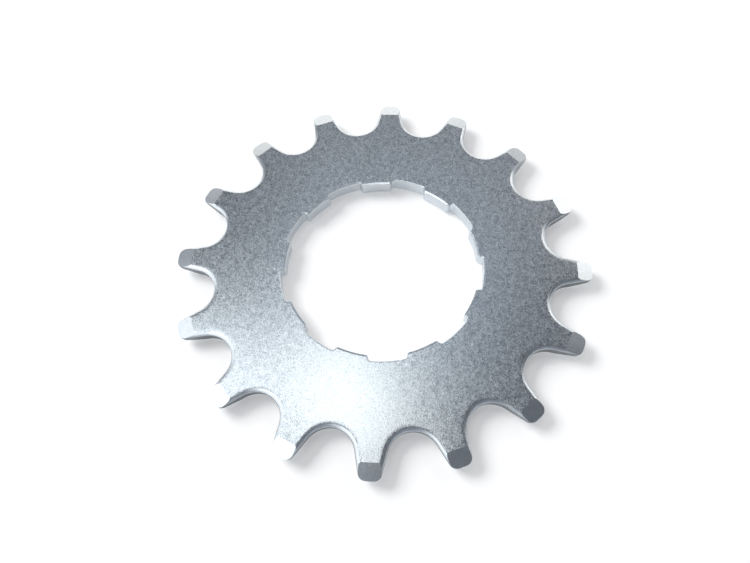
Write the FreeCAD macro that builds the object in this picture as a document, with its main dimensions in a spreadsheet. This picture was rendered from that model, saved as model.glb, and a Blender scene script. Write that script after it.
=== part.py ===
"""Bicycle sprocket: one blanked steel plate with bevelled teeth and a splined bore.

The plate lies on its back face. Z is the axis it turns about, the origin is on that axis at the
back face, and +X runs through the middle of one roller seat and of one spline tab.
Millimetres and degrees.
"""
import FreeCAD, Part
import math
import os

import Sketcher

DRIVING = [
    ("teeth", 16, "teeth on the rim"),
    ("chain_pitch", 12.7, "roller to roller, half an inch"),
    ("plate_thickness", 2.6, "sheet the sprocket is blanked from"),
    ("tooth_width", 4.8, "tooth along the chain line, flank to flank on the pitch circle"),
    ("tooth_height", 2.8, "tooth tip above the pitch circle"),
    ("flank_taper", 12.0, "each flank leans this much towards the tooth's middle"),
    ("tip_corner", 1.25, "round on the two corners of a tooth tip, in plan"),
    ("front_bevel_length", 2.55, "bevel on the front of a tooth tip, along the radius"),
    ("front_bevel_angle", 11.0, "slope of that bevel from the front face"),
    ("back_bevel_length", 4.35, "longer bevel on the back of a tooth, along the radius"),
    ("back_bevel_angle", 18.0, "slope of that bevel from the back face"),
    ("bore_diameter", 32.8, "circle through the tips of the spline tabs"),
    ("tab_count", 9, "spline tabs round the bore"),
    ("tab_height", 0.9, "spline tab, from the bottom of the grooves beside it"),
    ("tab_width", 5.2, "spline tab across its tip"),
    ("tab_taper", 22.0, "each side of a tab leans out this much towards its root"),
    ("tab_corner", 0.5, "round in the tabs' corners, in plan"),
    ("rim_roll", 0.55, "front edge round the teeth, rolled over by the punch"),
    ("bore_roll", 0.3, "front edge round the bore, rolled over less"),
    ("back_break", 0.25, "edge broken where the punch came out"),
    ("overrun", 1.0, "how far a cutting outline runs past what it cuts"),
]

PITCH_RADIUS = "dims.chain_pitch / (2 * sin(180 deg / dims.teeth))"
TIP_RADIUS = f"({PITCH_RADIUS} + dims.tooth_height)"
GROOVE_RADIUS = "(dims.bore_diameter / 2 + dims.tab_height)"

doc = FreeCAD.newDocument("sprocket")
sheet = doc.addObject("Spreadsheet::Sheet", "dims")
for row, (alias, number, meaning) in enumerate(DRIVING, start=1):
    sheet.set(f"A{row}", meaning)
    sheet.set(f"B{row}", str(number))
    sheet.setAlias(f"B{row}", alias)
doc.recompute()

size = {alias: float(sheet.get(alias)) for alias, number, meaning in DRIVING}
pitch_radius = size["chain_pitch"] / (2 * math.sin(math.pi / size["teeth"]))
tip_radius = pitch_radius + size["tooth_height"]
bore_radius = size["bore_diameter"] / 2
groove_radius = bore_radius + size["tab_height"]

ORIGIN, HORIZONTAL_AXIS = (-1, 1), -1
START, END, CENTRE = range(1, 4)

body = doc.addObject("PartDesign::Body", "sprocket")
body.Label = "sprocket"
body.Placement = FreeCAD.Placement()


def point(x, y):
    return FreeCAD.Vector(x, y, 0)


def new_sketch(name, plane):
    """A sketch on one of the body's own origin planes."""
    sketch = body.newObject("Sketcher::SketchObject", name)
    support = next(item for item in body.Origin.OriginFeatures if item.Role == plane)
    sketch.AttachmentSupport = [(support, "")]
    sketch.MapMode = "FlatFace"
    return sketch


def drive(sketch, name, formula, kind, *where_and_value):
    """A dimension of a sketch that follows the sheet."""
    index = sketch.addConstraint(Sketcher.Constraint(kind, *where_and_value))
    sketch.renameConstraint(index, name)
    sketch.setExpression(f"Constraints.{name}", formula)


def join(sketch, *ends):
    """Pairs of line ends, or a centre and the origin, that share a point."""
    for first, second in ends:
        sketch.addConstraint(Sketcher.Constraint("Coincident", *first, *second))


def repeat_round(feature, name, count):
    """Copies of a feature, evenly spaced about the plate's axis."""
    pattern = body.newObject("PartDesign::PolarPattern", name)
    pattern.Originals = [feature]
    pattern.Axis = (feature.Profile[0], ["N_Axis"])
    pattern.Angle = 360
    pattern.setExpression("Occurrences", count)
    body.Tip = pattern
    doc.recompute()
    return pattern


def ease_edges(kind, name, base, elements, measure, formula):
    """A fillet or chamfer of one size on the named edges, or on all edges of the named faces."""
    eased = body.newObject(f"PartDesign::{kind}", name)
    eased.Base = (base, elements)
    eased.setExpression(measure, formula)
    body.Tip = eased
    doc.recompute()
    return eased


def upright_edges(shape, radius):
    """Names of the straight edges along the thickness that lie at this radius from the axis."""
    names = []
    for number, edge in enumerate(shape.Edges, start=1):
        first, last = (vertex.Point for vertex in (edge.Vertexes[0], edge.Vertexes[-1]))
        upright = abs(last.z - first.z) > size["plate_thickness"] / 2
        if upright and abs(math.hypot(first.x, first.y) - radius) < size["tab_height"] / 4:
            names.append(f"Edge{number}")
    return names


def edges_round(shape, height, outside):
    """Names of the edges of the plate's face at this height, round the rim or else round the bore."""
    names = []
    for number, edge in enumerate(shape.Edges, start=1):
        box, start = edge.BoundBox, edge.Vertexes[0].Point
        on_face = box.ZLength < 1e-6 and abs(box.ZMin - height) < 1e-6
        on_rim = math.hypot(start.x, start.y) > (groove_radius + pitch_radius - seat_radius) / 2
        if on_face and on_rim == outside:
            names.append(f"Edge{number}")
    return names


# The blank: a ring as wide as the tooth tips, with a bore as wide as the bottom of the grooves.
blank_outline = new_sketch("blank_outline", "XY_Plane")
rim = blank_outline.addGeometry(Part.Circle(point(0, 0), FreeCAD.Vector(0, 0, 1), tip_radius))
bore = blank_outline.addGeometry(Part.Circle(point(0, 0), FreeCAD.Vector(0, 0, 1), groove_radius))
join(blank_outline, ((rim, CENTRE), ORIGIN), ((bore, CENTRE), ORIGIN))
drive(blank_outline, "tip_radius", TIP_RADIUS, "Radius", rim, tip_radius)
drive(blank_outline, "groove_radius", GROOVE_RADIUS, "Radius", bore, groove_radius)

blank = body.newObject("PartDesign::Pad", "blank")
blank.Profile = blank_outline
blank.setExpression("Length", "dims.plate_thickness")
doc.recompute()

# The tooth gap: a round roller seat on the pitch circle, with straight flanks that open outwards.
seat_radius = (size["chain_pitch"] - size["tooth_width"]) / 2
lean = math.pi / size["teeth"] + math.radians(size["flank_taper"])
seat_end = point(pitch_radius - seat_radius * math.sin(lean), seat_radius * math.cos(lean))
mouth_x = tip_radius + size["overrun"]
mouth_y = seat_end.y + (mouth_x - seat_end.x) * math.tan(lean)

gap_outline = new_sketch("gap_outline", "XY_Plane")
seat_circle = Part.Circle(point(pitch_radius, 0), FreeCAD.Vector(0, 0, 1), seat_radius)
seat = gap_outline.addGeometry(
    Part.ArcOfCircle(seat_circle, math.pi / 2 + lean, 3 * math.pi / 2 - lean))
flank = gap_outline.addGeometry(Part.LineSegment(seat_end, point(mouth_x, mouth_y)))
far_flank = gap_outline.addGeometry(
    Part.LineSegment(point(seat_end.x, -seat_end.y), point(mouth_x, -mouth_y)))
mouth = gap_outline.addGeometry(
    Part.LineSegment(point(mouth_x, mouth_y), point(mouth_x, -mouth_y)))
gap_outline.addConstraint([
    Sketcher.Constraint("Tangent", seat, START, flank, START),
    Sketcher.Constraint("Tangent", seat, END, far_flank, START),
    Sketcher.Constraint("PointOnObject", seat, CENTRE, HORIZONTAL_AXIS),
    Sketcher.Constraint("Symmetric", flank, END, far_flank, END, HORIZONTAL_AXIS),
])
join(gap_outline, ((flank, END), (mouth, START)), ((far_flank, END), (mouth, END)))
drive(gap_outline, "pitch_radius", PITCH_RADIUS, "DistanceX", *ORIGIN, seat, CENTRE, pitch_radius)
drive(gap_outline, "seat_radius", "(dims.chain_pitch - dims.tooth_width) / 2",
      "Radius", seat, seat_radius)
drive(gap_outline, "flank_lean", "180 deg / dims.teeth + dims.flank_taper * 1 deg",
      "Angle", flank, lean)
drive(gap_outline, "mouth", f"{TIP_RADIUS} + dims.overrun", "DistanceX", *ORIGIN, flank, END, mouth_x)

gap = body.newObject("PartDesign::Pocket", "gap")
gap.Profile = gap_outline
gap.Type = "ThroughAll"
gap.Reversed = True
doc.recompute()
toothed = repeat_round(gap, "tooth_gaps", "dims.teeth")

# The spline tabs: they reach into the bore, and their sides lean out towards the root.
tab_lean = math.radians(size["tab_taper"])
tip_angle = math.asin(size["tab_width"] / 2 / bore_radius)
tip_corner = point(bore_radius * math.cos(tip_angle), size["tab_width"] / 2)
root_x = groove_radius + size["overrun"]
root_y = tip_corner.y + (root_x - tip_corner.x) * math.tan(tab_lean)

tab_outline = new_sketch("tab_outline", "XY_Plane")
bore_circle = Part.Circle(point(0, 0), FreeCAD.Vector(0, 0, 1), bore_radius)
tab_tip = tab_outline.addGeometry(Part.ArcOfCircle(bore_circle, -tip_angle, tip_angle))
side = tab_outline.addGeometry(Part.LineSegment(tip_corner, point(root_x, root_y)))
far_side = tab_outline.addGeometry(
    Part.LineSegment(point(tip_corner.x, -tip_corner.y), point(root_x, -root_y)))
root = tab_outline.addGeometry(Part.LineSegment(point(root_x, root_y), point(root_x, -root_y)))
tab_outline.addConstraint(
    Sketcher.Constraint("Symmetric", side, END, far_side, END, HORIZONTAL_AXIS))
join(tab_outline,
     ((tab_tip, CENTRE), ORIGIN),
     ((tab_tip, END), (side, START)), ((tab_tip, START), (far_side, START)),
     ((side, END), (root, START)), ((far_side, END), (root, END)))
drive(tab_outline, "bore_radius", "dims.bore_diameter / 2", "Radius", tab_tip, bore_radius)
drive(tab_outline, "half_width", "dims.tab_width / 2",
      "DistanceY", *ORIGIN, tab_tip, END, size["tab_width"] / 2)
drive(tab_outline, "far_half_width", "dims.tab_width / 2",
      "DistanceY", tab_tip, START, *ORIGIN, size["tab_width"] / 2)
drive(tab_outline, "side_lean", "dims.tab_taper * 1 deg", "Angle", side, tab_lean)
drive(tab_outline, "root", f"{GROOVE_RADIUS} + dims.overrun", "DistanceX", *ORIGIN, side, END, root_x)

tab = body.newObject("PartDesign::Pad", "tab")
tab.Profile = tab_outline
tab.setExpression("Length", "dims.plate_thickness")
doc.recompute()
splined = repeat_round(tab, "spline_tabs", "dims.tab_count")

# Corners of the blanking tool: tooth tips and tabs are round in plan.
tip_room = "0.45 * (dims.tooth_width - 2 * dims.tooth_height * tan(dims.flank_taper * 1 deg))"
round_tips = ease_edges(
    "Fillet", "tooth_tip_corners", splined, upright_edges(splined.Shape, tip_radius),
    "Radius", f"min(dims.tip_corner; {tip_room})")
tab_edges = [name for radius in (bore_radius, groove_radius)
             for name in upright_edges(round_tips.Shape, radius)]
tab_room = "min(dims.tab_corner; 0.6 * dims.tab_height)"
round_tabs = ease_edges("Fillet", "tab_corners", round_tips, tab_edges, "Radius", tab_room)

# Edges as blanking leaves them: rolled over on the front face, just broken on the back face.
front = size["plate_thickness"]
edge_room = f"0.8 * {tab_room}; 0.3 * dims.plate_thickness"
rim_rolled = ease_edges(
    "Chamfer", "rim_front_edge", round_tabs, edges_round(round_tabs.Shape, front, True),
    "Size", f"min(dims.rim_roll; 0.8 * dims.tip_corner; 0.3 * dims.plate_thickness; 0.8 * {tip_room})")
rolled = ease_edges(
    "Chamfer", "bore_front_edge", rim_rolled, edges_round(rim_rolled.Shape, front, False),
    "Size", f"min(dims.bore_roll; {edge_room})")
broken = ease_edges(
    "Chamfer", "back_edges", rolled,
    edges_round(rolled.Shape, 0, True) + edges_round(rolled.Shape, 0, False),
    "Size", f"min(dims.back_break; {edge_room})")

# Bevels: both faces slope down to the tooth tips, cut after the edges are rolled.
outer_x = tip_radius + size["overrun"]
for name, height, downward in (("front_bevel", size["plate_thickness"], -1), ("back_bevel", 0, 1)):
    inner_x = tip_radius - size[name + "_length"]
    steepness = math.radians(size[name + "_angle"])
    drop = (outer_x - inner_x) * math.tan(steepness)
    section = new_sketch(name + "_section", "XZ_Plane")
    inner, outer, low = (point(inner_x, height), point(outer_x, height),
                         point(outer_x, height + downward * drop))
    face_line = section.addGeometry(Part.LineSegment(inner, outer))
    rim_line = section.addGeometry(Part.LineSegment(outer, low))
    slope = section.addGeometry(Part.LineSegment(inner, low))
    join(section, ((face_line, END), (rim_line, START)), ((rim_line, END), (slope, END)),
         ((slope, START), (face_line, START)))
    section.addConstraint([
        Sketcher.Constraint("Horizontal", face_line),
        Sketcher.Constraint("Vertical", rim_line),
    ])
    if height:
        drive(section, "face", "dims.plate_thickness",
              "DistanceY", *ORIGIN, face_line, START, height)
    else:
        section.addConstraint(
            Sketcher.Constraint("PointOnObject", face_line, START, HORIZONTAL_AXIS))
    drive(section, "inner", f"{TIP_RADIUS} - dims.{name}_length",
          "DistanceX", *ORIGIN, face_line, START, inner_x)
    drive(section, "outer", f"{TIP_RADIUS} + dims.overrun",
          "DistanceX", *ORIGIN, face_line, END, outer_x)
    drive(section, "slope", f"{downward} * dims.{name}_angle * 1 deg",
          "Angle", slope, downward * steepness)
    bevel = body.newObject("PartDesign::Groove", name)
    bevel.Profile = section
    bevel.ReferenceAxis = (section, ["V_Axis"])
    bevel.Angle = 360
    body.Tip = bevel
    doc.recompute()

# Nothing is written unless every feature was made and every cut and addition took effect.
for item in doc.Objects:
    if "Invalid" in item.State or "Error" in item.State:
        raise RuntimeError(f"{item.Name} failed: {item.State}")
stages = [blank, toothed, splined, round_tips, round_tabs, rim_rolled, rolled, broken, body]
volumes = [stage.Shape.Volume for stage in stages]
cuts = all(after < before for before, after in zip(volumes[4:], volumes[5:]))
if not (cuts and volumes[1] < volumes[0] and volumes[2] > volumes[1]):
    raise RuntimeError(f"a cut or an addition did nothing: {volumes}")
if body.Shape.isNull() or not body.Shape.isValid() or len(body.Shape.Solids) != 1:
    raise RuntimeError("the sprocket is not one valid solid")

os.makedirs("parts", exist_ok=True)
body.Shape.exportStep(f"parts/{body.Label}.step")
print(f"{body.Label}: volume {body.Shape.Volume:.1f} mm3, box {body.Shape.BoundBox}")
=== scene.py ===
"""A bicycle sprocket that lies on its back on a white table."""

import math

import bmesh
import bpy
from mathutils import Matrix, Vector


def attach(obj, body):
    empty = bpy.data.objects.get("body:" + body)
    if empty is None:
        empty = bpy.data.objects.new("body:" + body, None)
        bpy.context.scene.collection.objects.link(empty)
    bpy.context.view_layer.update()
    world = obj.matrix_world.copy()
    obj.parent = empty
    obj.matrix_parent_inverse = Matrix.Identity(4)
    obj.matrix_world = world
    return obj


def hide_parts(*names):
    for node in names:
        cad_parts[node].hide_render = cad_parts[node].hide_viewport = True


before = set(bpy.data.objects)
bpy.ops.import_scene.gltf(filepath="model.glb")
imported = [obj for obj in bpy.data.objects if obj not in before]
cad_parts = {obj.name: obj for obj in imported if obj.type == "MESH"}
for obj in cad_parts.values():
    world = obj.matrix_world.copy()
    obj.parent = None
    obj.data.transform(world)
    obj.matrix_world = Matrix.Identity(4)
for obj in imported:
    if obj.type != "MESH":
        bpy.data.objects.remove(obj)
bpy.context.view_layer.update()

# Sprocket: one flat steel ring, blanked from 2.6 mm sheet together with its teeth and its spline tabs.
# The punch rolls over the front edges and leaves the back ones sharp, the tooth tips are then
# bevelled on both faces, and last the ring is zinc plated. Sizes here are in millimetres.
TEETH = 16
CHAIN_PITCH = 12.7
THICKNESS = 2.6
TOOTH_WIDTH = 4.8
TOOTH_HEIGHT = 2.8
FLANK_TAPER = math.radians(12)
TIP_CORNER = 1.25
FRONT_BEVEL, FRONT_SLOPE = 2.55, math.tan(math.radians(11))
BACK_BEVEL, BACK_SLOPE = 4.35, math.tan(math.radians(18))
TABS = 9
TAB_TIP_RADIUS = 16.4
TAB_HEIGHT = 0.9
TAB_WIDTH = 5.2
TAB_TAPER = math.radians(22)
TAB_CORNER = 0.5
TAB_BEVEL, TAB_SLOPE = 0.38, math.tan(math.radians(13))
ROOT_ROLL, TIP_ROLL, ROLL_DEPTH = 1.3, 1.05, 0.65
BORE_ROLL, BORE_ROLL_DEPTH = 0.35, 0.3
RIM_UNDERCUT = 0.3
BACK_BREAK = 0.25
ROLL_STEPS = 18
TOOL_SIDES = 720
TOOL_OVERRUN = 1
MM = 0.001

half_pitch = math.pi / TEETH
pitch_radius = CHAIN_PITCH / (2 * math.sin(half_pitch))
tip_radius = pitch_radius + TOOTH_HEIGHT
groove_radius = TAB_TIP_RADIUS + TAB_HEIGHT


def bend(centre, radius, start, end, out):
    """Points along an arc, each with the way out of the metal: out is 1 away from the centre, else -1."""
    count = math.ceil(abs(end - start) * max(radius / 0.3, 8))
    turns = [start + (end - start) * step / count for step in range(count + 1)]
    rays = [Vector((math.cos(turn), math.sin(turn))) for turn in turns]
    return [(centre + ray * radius, ray * out) for ray in rays]


def corner_centre(start, along, reach):
    """The point on a line that is this far from the plate's axis, on the side that the line runs to."""
    middle = start.dot(along)
    return start + along * (math.sqrt(middle**2 - start.length_squared + reach**2) - middle)


def angle(vector):
    return math.atan2(vector.y, vector.x)


def all_round(half, count):
    """A closed outline from half of one of its repeats, which ends on the +X axis."""
    mirrored = [(Vector((p.x, -p.y)), Vector((n.x, -n.y))) for p, n in reversed(half)]
    repeat = []
    for p, n in half + mirrored:
        if not repeat or (p - repeat[-1][0]).length > 1e-6:
            repeat.append((p, n))
    turns = [Matrix.Rotation(-2 * math.pi * number / count, 2) for number in range(count)]
    return [(turn @ p, turn @ n) for turn in turns for p, n in repeat[:-1]]


# Rim: a roller seat on the pitch circle, straight flanks that open outwards, and rounded tooth tips.
lean = half_pitch + FLANK_TAPER
seat_radius = (CHAIN_PITCH - TOOTH_WIDTH) / 2
seat_centre = Vector((pitch_radius, 0))
into_tooth = Vector((-math.sin(lean), math.cos(lean)))
flank = Vector((math.cos(lean), math.sin(lean)))
tip_corner = corner_centre(
    seat_centre + into_tooth * (seat_radius + TIP_CORNER), flank, tip_radius - TIP_CORNER)
axis = Vector((0, 0))
rim = all_round(
    bend(axis, tip_radius, half_pitch, angle(tip_corner), 1)
    + bend(tip_corner, TIP_CORNER, angle(tip_corner), lean - math.pi / 2, 1)
    + bend(seat_centre, seat_radius, lean + math.pi / 2, math.pi, -1),
    TEETH)

# Bore: wide grooves, and between them tabs that reach inwards, rounded at their tips and roots.
tab_end = Vector((math.sqrt(TAB_TIP_RADIUS**2 - (TAB_WIDTH / 2)**2), TAB_WIDTH / 2))
tab_side = Vector((math.cos(TAB_TAPER), math.sin(TAB_TAPER)))
into_tab = Vector((math.sin(TAB_TAPER), -math.cos(TAB_TAPER)))
tab_corner = corner_centre(tab_end + into_tab * TAB_CORNER, tab_side, TAB_TIP_RADIUS + TAB_CORNER)
tab_root = corner_centre(tab_end - into_tab * TAB_CORNER, tab_side, groove_radius - TAB_CORNER)
bore = all_round(
    bend(axis, groove_radius, math.pi / TABS, angle(tab_root), -1)
    + bend(tab_root, TAB_CORNER, angle(tab_root), angle(into_tab), -1)
    + bend(tab_corner, TAB_CORNER, angle(-into_tab), angle(tab_corner) + math.pi, 1)
    + bend(axis, TAB_TIP_RADIUS, angle(tab_corner), 0, -1),
    TABS)

# Edges of the plate: from the front face over the roll, down the sheared wall and over the broken back
# edge. The roll is widest at the tooth roots, and the rim wall draws in a little towards the back.
plate = bmesh.new()
front_edges, back_edges = [], []
for outline, root, tip, depth, undercut in (
        (rim, ROOT_ROLL, TIP_ROLL, ROLL_DEPTH, RIM_UNDERCUT),
        (bore, BORE_ROLL, BORE_ROLL, BORE_ROLL_DEPTH, 0)):
    nearest = min(p.length for p, n in outline)
    furthest = max(p.length for p, n in outline)
    widths = [root + (tip - root) * (p.length - nearest) / (furthest - nearest) for p, n in outline]
    section = []
    for step in range(ROLL_STEPS + 1):
        turn = math.pi / 2 * (1 - step / ROLL_STEPS)
        section.append((1 - max(math.cos(turn), 0)**0.5, 0, THICKNESS - depth * (1 - math.sin(turn))))
    section += [(0, undercut, BACK_BREAK), (0, undercut + BACK_BREAK, 0)]
    rings = []
    for share, inset, height in section:
        points = [p - n * (share * width + inset) for (p, n), width in zip(outline, widths)]
        rings.append([plate.verts.new((p.x * MM, p.y * MM, height * MM)) for p in points])
    for upper, lower in zip(rings, rings[1:]):
        for i in range(len(outline)):
            plate.faces.new((upper[i - 1], upper[i], lower[i], lower[i - 1]))
    for ring, found in ((rings[0], front_edges), (rings[-1], back_edges)):
        found += [plate.edges.get((ring[i - 1], ring[i])) for i in range(len(outline))]
for found in (front_edges, back_edges):
    bmesh.ops.triangle_fill(plate, edges=found, use_beauty=True)
bmesh.ops.recalc_face_normals(plate, faces=plate.faces[:])
sprocket_mesh = bpy.data.meshes.new("sprocket_plate")
plate.to_mesh(sprocket_mesh)
plate.free()
sprocket = bpy.data.objects.new("sprocket_plate", sprocket_mesh)
bpy.context.collection.objects.link(sprocket)

# Bevels: a cone turned off each face, from a circle inside the tooth tips outwards, and a small one
# off the front of the tab tips, inwards.
for face_height, side, edge, way, length, slope in (
        (THICKNESS, 1, tip_radius - FRONT_BEVEL, 1, FRONT_BEVEL, FRONT_SLOPE),
        (0, -1, tip_radius - BACK_BEVEL, 1, BACK_BEVEL, BACK_SLOPE),
        (THICKNESS, 1, TAB_TIP_RADIUS + TAB_BEVEL, -1, TAB_BEVEL, TAB_SLOPE)):
    reach = length + TOOL_OVERRUN
    inside, outside = edge - way * TOOL_OVERRUN, edge + way * reach
    section = [
        (inside, slope * TOOL_OVERRUN), (outside, -slope * reach),
        (outside, TOOL_OVERRUN), (inside, TOOL_OVERRUN)]
    tool = bmesh.new()
    rings = []
    for number in range(TOOL_SIDES):
        turn = 2 * math.pi * number / TOOL_SIDES
        rings.append([
            tool.verts.new((r * math.cos(turn) * MM, r * math.sin(turn) * MM, (face_height + side * z) * MM))
            for r, z in section])
    for i in range(len(rings)):
        for j in range(len(section)):
            tool.faces.new((rings[i - 1][j - 1], rings[i - 1][j], rings[i][j], rings[i][j - 1]))
    bmesh.ops.recalc_face_normals(tool, faces=tool.faces[:])
    tool_mesh = bpy.data.meshes.new("bevel_tool")
    tool.to_mesh(tool_mesh)
    tool.free()
    bevel_tool = bpy.data.objects.new("bevel_tool", tool_mesh)
    bpy.context.collection.objects.link(bevel_tool)
    cut = sprocket.modifiers.new("tip_bevel", "BOOLEAN")
    cut.operation = "DIFFERENCE"
    cut.solver = "EXACT"
    cut.object = bevel_tool
    bpy.context.view_layer.update()
    cut_sprocket = sprocket.evaluated_get(bpy.context.evaluated_depsgraph_get())
    cut_mesh = bpy.data.meshes.new_from_object(cut_sprocket)
    sprocket.modifiers.clear()
    sprocket.data = cut_mesh
    bpy.data.objects.remove(bevel_tool)

sprocket.data.shade_smooth()
sprocket.data.set_sharp_from_angle(angle=math.radians(9))
flat = sprocket.modifiers.new("flat_faces_stay_flat", "WEIGHTED_NORMAL")
flat.keep_sharp = True


def linear(colour):
    """An sRGB hex colour as linear RGBA."""
    parts = [int(colour[i:i + 2], 16) / 255 for i in (1, 3, 5)]
    return [c / 12.92 if c <= 0.04045 else ((c + 0.055) / 1.055)**2.4 for c in parts] + [1]


def add(tree, kind, inputs=None, **settings):
    """A shader node with its settings; an input is a constant or another node's output."""
    node = tree.nodes.new(kind)
    for name, value in settings.items():
        setattr(node, name, value)
    for name, value in (inputs or {}).items():
        if isinstance(value, bpy.types.NodeSocket):
            tree.links.new(value, node.inputs[name])
        else:
            node.inputs[name].default_value = value
    return node


# Zinc-plated steel: bright electroplated zinc on blanked sheet. The plating grows in crystals, so it is
# satin, a little blue and sparkles with light and dark specks, which are drawn coarser here so that they
# show. The tooled bevels and rolls are calmer and a few knocks shine. The sheared walls are rougher, and
# their colour is painted light on the bore walls and painted shade on the rim walls and steep roll edges.
zinc = bpy.data.materials.new("zinc_plated_steel")
zinc.use_nodes = True
tree = zinc.node_tree
tree.nodes.clear()
place = add(tree, "ShaderNodeTexCoord")
where = place.outputs["Object"]
crystals = add(tree, "ShaderNodeTexVoronoi", {"Vector": where, "Scale": 1 / (0.17 * MM)})
specks = add(tree, "ShaderNodeTexNoise", {"Vector": where, "Scale": 1 / (0.14 * MM), "Detail": 2.0})
clouds = add(tree, "ShaderNodeTexNoise", {"Vector": where, "Scale": 1 / (0.9 * MM), "Detail": 3.0})
grain = add(tree, "ShaderNodeMath", {
    0: crystals.outputs["Color"], 1: specks.outputs["Fac"]}, operation="ADD")
mottled = add(tree, "ShaderNodeMath", {
    0: clouds.outputs["Fac"], 1: 1.0, 2: grain.outputs[0]}, operation="MULTIPLY_ADD")
facing = add(tree, "ShaderNodeSeparateXYZ", {0: place.outputs["Normal"]})
flatness = add(tree, "ShaderNodeMath", {0: facing.outputs["Z"]}, operation="ABSOLUTE").outputs[0]
tooled = add(tree, "ShaderNodeMapRange", {
    "Value": flatness, "From Min": 0.996, "From Max": 0.985, "To Max": 0.7})
calmed = add(tree, "ShaderNodeMix", {
    "Factor": tooled.outputs["Result"], "A": mottled.outputs[0], "B": 1.9}).outputs["Result"]
shade = add(tree, "ShaderNodeValToRGB", {"Fac": add(
    tree, "ShaderNodeMath", {0: calmed, 1: 0.34}, operation="MULTIPLY").outputs[0]})
shade.color_ramp.elements[0].position = 0.31
shade.color_ramp.elements[0].color = linear("#a2aab1")
shade.color_ramp.elements[1].position = 0.7
shade.color_ramp.elements[1].color = linear("#eef6fb")
across = add(tree, "ShaderNodeVectorMath", {0: where, 1: (1, 1, 0)}, operation="MULTIPLY")
out_from_axis = add(tree, "ShaderNodeVectorMath", {0: across.outputs[0]}, operation="LENGTH")
# Painted light and shade on the sheared walls: the bore walls get a lighter colour and the rim walls a darker
# one, which also covers the steep part of the rolls.
rim_shade_mask = add(tree, "ShaderNodeMapRange", {
    "Value": out_from_axis.outputs["Value"], "From Min": 20 * MM, "From Max": 22 * MM})
upright = add(tree, "ShaderNodeMapRange", {"Value": flatness, "From Min": 0.65, "From Max": 0.25})
wall = add(tree, "ShaderNodeMix", {
    "Factor": rim_shade_mask.outputs["Result"], "A": linear("#d8dee3"), "B": linear("#7f8488")}, data_type="RGBA")
knocks = add(tree, "ShaderNodeTexVoronoi", {"Vector": where, "Scale": 1 / (5 * MM)})
fleck = add(tree, "ShaderNodeMapRange", {
    "Value": knocks.outputs["Distance"], "From Min": 0.06, "From Max": 0.03})
flecked = add(tree, "ShaderNodeMix", {
    "Factor": fleck.outputs["Result"], "A": shade.outputs["Color"], "B": linear("#fcfdfe")}, data_type="RGBA")
colour = add(tree, "ShaderNodeMix", {
    "Factor": upright.outputs["Result"], "A": flecked.outputs["Result"], "B": wall.outputs["Result"]},
    data_type="RGBA")
rough = add(tree, "ShaderNodeMapRange", {
    "Value": calmed, "From Min": 0.8, "From Max": 2.2, "To Min": 0.22, "To Max": 0.33})
rolled = add(tree, "ShaderNodeMapRange", {"Value": flatness, "From Min": 0.97, "From Max": 0.6})
sheared = add(tree, "ShaderNodeMix", {
    "Factor": rolled.outputs["Result"], "A": rough.outputs["Result"], "B": 0.42})
metal = add(tree, "ShaderNodeBsdfPrincipled", {
    "Base Color": colour.outputs["Result"], "Metallic": 1.0, "Roughness": sheared.outputs["Result"]})
add(tree, "ShaderNodeOutputMaterial", {"Surface": metal.outputs["BSDF"]})
sprocket.data.materials.clear()
sprocket.data.materials.append(zinc)

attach(sprocket, "root")
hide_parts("sprocket")

# Table: a wide sheet of matt white paper that the sprocket lies on. It is rough pulp without a shine,
# so it scatters all light, and its glow makes it white to the eye and in the metal, not on the sprocket.
floor_mesh = bpy.data.meshes.new("table")
corners = [(-1.5, -1.5), (1.5, -1.5), (1.5, 1.5), (-1.5, 1.5)]
floor_mesh.from_pydata([(x, y, -0.01 * MM) for x, y in corners], [], [(0, 1, 2, 3)])
floor = bpy.data.objects.new("table", floor_mesh)
bpy.context.collection.objects.link(floor)

paper = bpy.data.materials.new("matt_white_paper")
paper.use_nodes = True
tree = paper.node_tree
tree.nodes.clear()
seen = add(tree, "ShaderNodeLightPath")
direct = add(tree, "ShaderNodeMath", {
    0: seen.outputs["Is Camera Ray"], 1: seen.outputs["Is Glossy Ray"]}, operation="MAXIMUM")
matt = add(tree, "ShaderNodeBsdfDiffuse", {"Color": linear("#e4e4e4")})
glow = add(tree, "ShaderNodeEmission", {"Strength": add(
    tree, "ShaderNodeMath", {0: direct.outputs[0], 1: 0.32}, operation="MULTIPLY").outputs[0]})
both = add(tree, "ShaderNodeAddShader", {0: matt.outputs[0], 1: glow.outputs[0]})
add(tree, "ShaderNodeOutputMaterial", {"Surface": both.outputs[0]})
floor.data.materials.append(paper)

# Light: soft panels in a dim room, 1.6 m off, and a white card close to the left that only the metal
# mirrors. The key is for the table and its shadows, and the metal doesn't mirror it. Directions are
# degrees round from the camera's right, and up from the table.
CAMERA_TURN = -49.354
WATTS = 4  # of an area lamp, for each square metre that mirrors as white


def panel(name, round_from_right, up, width, height, brightness, colour, distance=1.6):
    """A soft panel that faces the sprocket; width and height are the degrees that it spans."""
    across, tall = (2 * distance * math.tan(math.radians(span / 2)) for span in (width, height))
    lamp = bpy.data.lights.new(name, "AREA")
    lamp.shape = "RECTANGLE"
    lamp.size = across
    lamp.size_y = tall
    lamp.energy = WATTS * across * tall * brightness
    lamp.color = linear(colour)[:3]
    stand = bpy.data.objects.new(name, lamp)
    bpy.context.collection.objects.link(stand)
    a, e = math.radians(round_from_right + CAMERA_TURN), math.radians(up)
    towards = Vector((math.cos(a) * math.cos(e), math.sin(a) * math.cos(e), math.sin(e)))
    stand.location = towards * distance
    stand.rotation_euler = towards.to_track_quat("Z", "Y").to_euler()
    return stand


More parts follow.
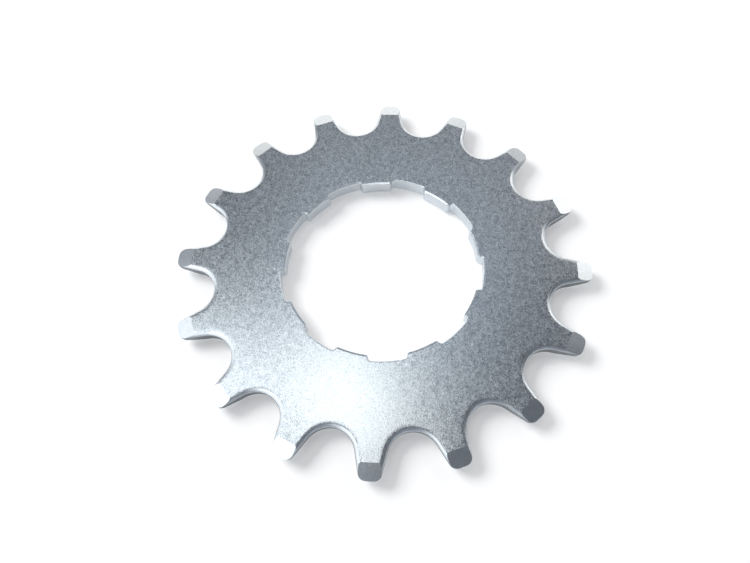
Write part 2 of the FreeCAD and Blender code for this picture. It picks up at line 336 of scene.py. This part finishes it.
panel("overhead_panel", 106, 75.7, 8, 12.5, 3.3, "#fffcf6")
panel("shoulder_panel", 138, 66, 9, 9, 2.3, "#ffffff")
panel("overhead_glow", 119, 72, 24, 20, 0.2, "#d8eeff")
panel("left_panel", 190, 64, 26, 16, 1.15, "#ffffff")
card = panel("white_card", 200, 30, 72, 60, 0.84, "#ffffff", 0.11)
card.visible_camera = False
card.visible_diffuse = False
panel("near_panel", 278, 38, 84, 58, 0.13, "#e6f0ff")
panel("right_panel", 38, 38, 26, 21, 1.36, "#fffaf4")
panel("right_strip", 32, 12, 44, 24, 0.68, "#ffffff")
panel("far_strip", 93, 17, 67, 28, 1.12, "#fffaf4")
panel("far_panel", 84, 55, 26, 24, 0.18, "#f4f8ff")
panel("far_glow", 84, 66, 18, 16, 0.235, "#d8eaff")
panel("far_left_panel", 134, 36, 28, 26, 0.11, "#f4f8ff")
key = panel("key", 147, 35, 30, 26, 10.2, "#ffffff")
key.visible_glossy = False

room = bpy.data.worlds.new("room")
bpy.context.scene.world = room
room.use_nodes = True
tree = room.node_tree
tree.nodes.clear()
air = add(tree, "ShaderNodeBackground", {"Color": linear("#ebf1ff"), "Strength": 0.137})
add(tree, "ShaderNodeOutputWorld", {"Surface": air.outputs[0]})

# Camera: close above the near edge of the sprocket, looking down at it with a wide lens.
turn, up, roll = math.radians(CAMERA_TURN), math.radians(63.594), math.radians(-4.1685)
aim = Matrix.Rotation(turn, 3, "Z") @ Vector((-1.332, -3.318, THICKNESS)) * MM
back = Matrix.Rotation(turn, 3, "Z") @ Vector((0, -math.cos(up), math.sin(up)))
right = back.cross(Vector((0, 0, -1))).normalized()
above = back.cross(right)
camera_data = bpy.data.cameras.new("camera")
camera_data.sensor_width = 36
camera_data.lens = 28.27344
camera_data.clip_start = 0.01
camera = bpy.data.objects.new("camera", camera_data)
bpy.context.collection.objects.link(camera)
tilted_right = right * math.cos(roll) + above * math.sin(roll)
tilted_above = above * math.cos(roll) - right * math.sin(roll)
pose = Matrix((tilted_right, tilted_above, back)).transposed().to_4x4()
pose.translation = aim + back * 98.60 * MM
camera.matrix_world = pose
bpy.context.scene.camera = camera
bpy.context.scene.view_settings.view_transform = "Standard"
